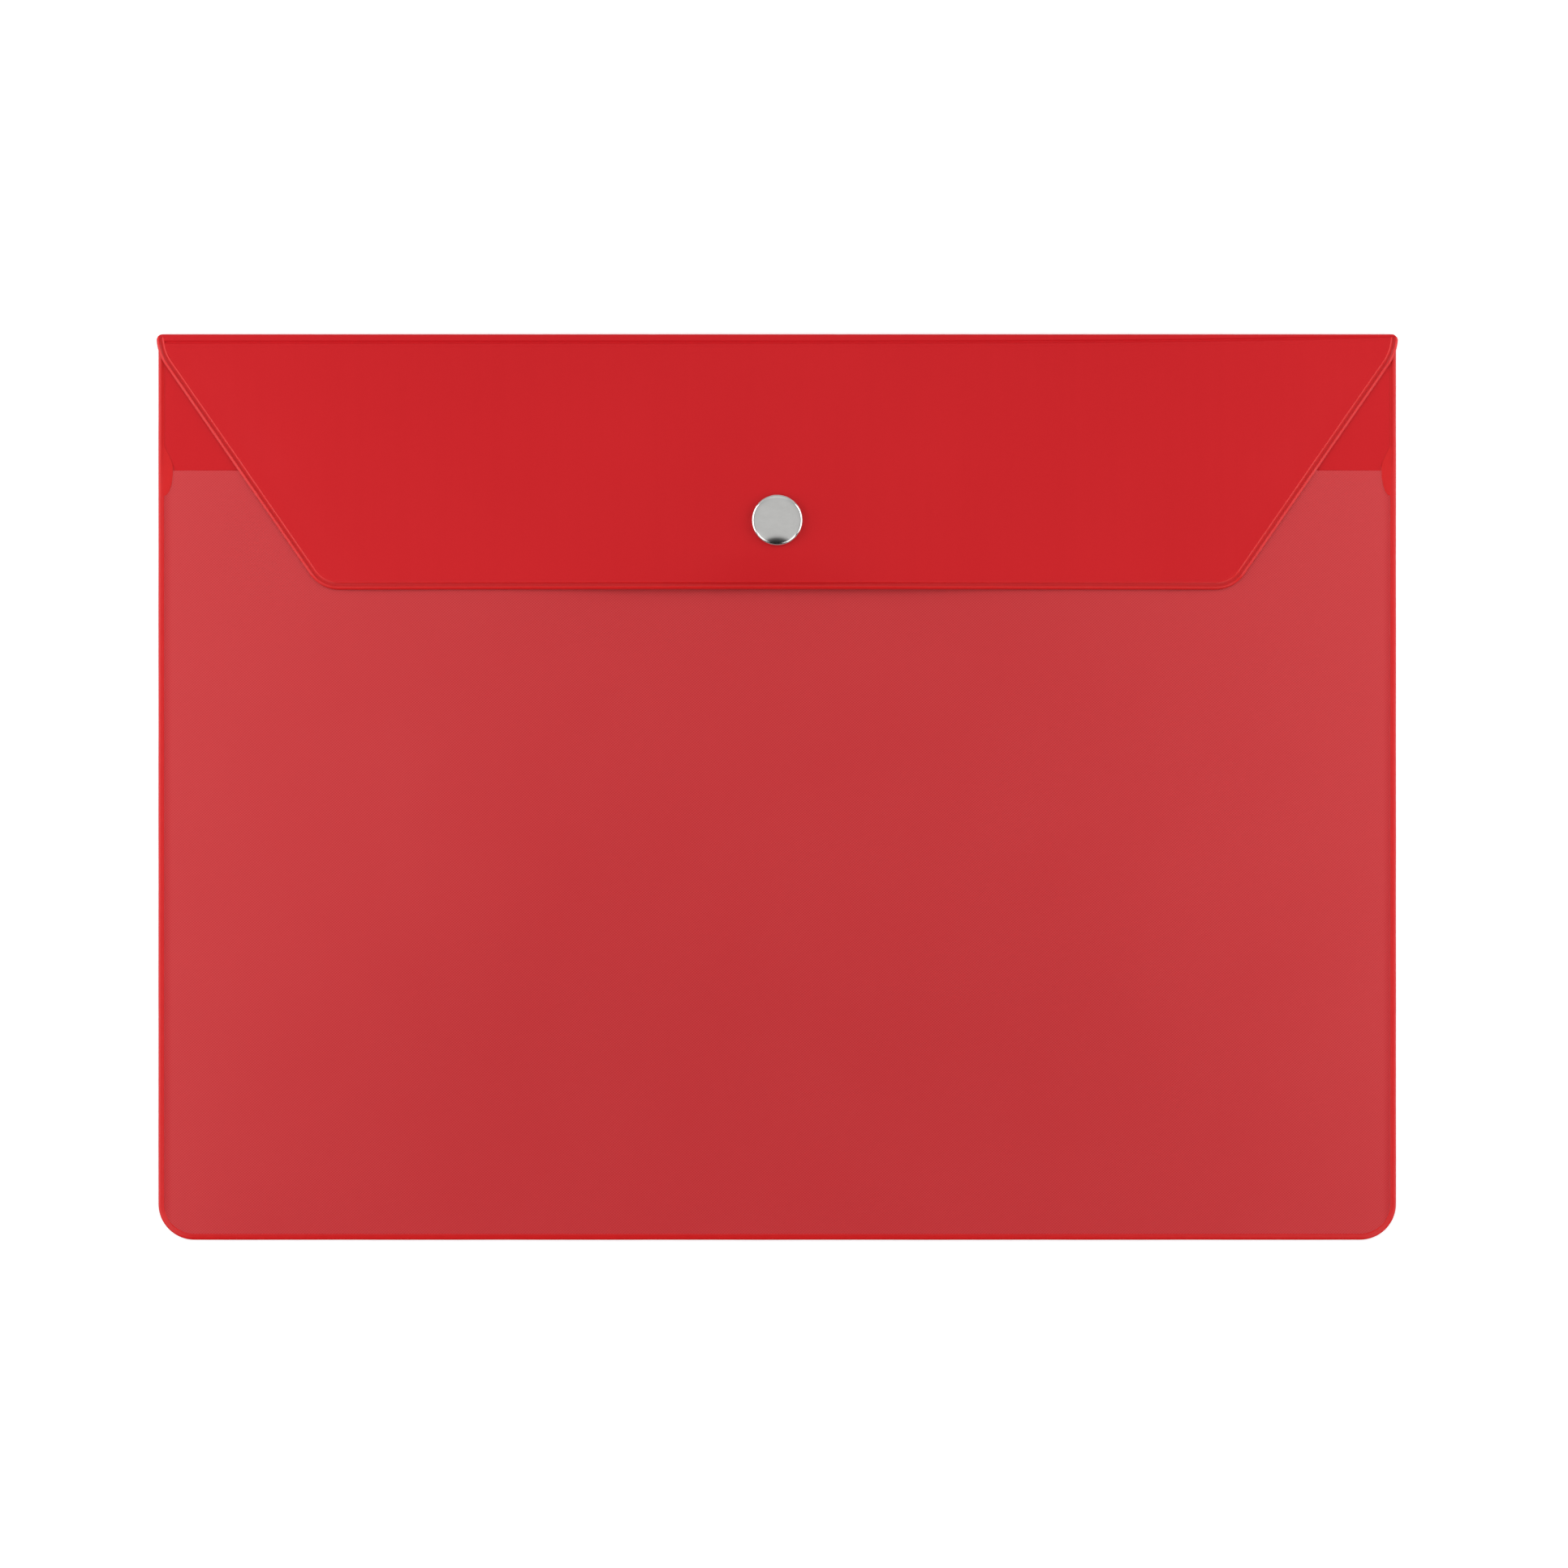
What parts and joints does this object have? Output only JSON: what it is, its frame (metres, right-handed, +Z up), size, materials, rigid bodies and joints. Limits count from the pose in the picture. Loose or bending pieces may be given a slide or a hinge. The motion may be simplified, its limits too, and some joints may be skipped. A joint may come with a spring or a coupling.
{
  "type": "document wallet",
  "caption": "Flat plastic document wallet: opaque red back and fold-over flap, translucent welded front pocket, closed by a metal press stud.",
  "frame": {"origin": "on the table under the middle of the wallet's outline", "axes": "+X across the wallet, +Y up the page towards the fold, +Z up out of the front"},
  "size_m": [0.3108, 0.2268, 0.011],
  "materials": {
    "red_sheet": "satin opaque red PVC sheet",
    "fused_red": "glossy fused weld bead",
    "pocket_film": "translucent film with a fine cross-hatched emboss",
    "nickel": "polished nickel plate",
    "spring_wire": "drawn wire"
  },
  "bodies": {
    "wallet": {"back_panel": "red_sheet", "edge_weld": "fused_red", "pocket_film": "pocket_film", "fold": "red_sheet", "stud": "nickel", "stud_post": "nickel"},
    "flap": {"flap_panel": "red_sheet", "flap_bead": "fused_red", "cap_shell": "nickel", "cap_post": "nickel", "socket": "nickel", "socket_spring": "spring_wire"}
  },
  "joints": [
    {"name": "flap_fold", "type": "hinge", "parent": "wallet", "child": "flap", "pos_m": [0, 0.11265, 0.00075], "axis": [-1, 0, 0], "range_deg": [0, 167], "deforming": ["fold", "socket_spring"]}
  ]
}
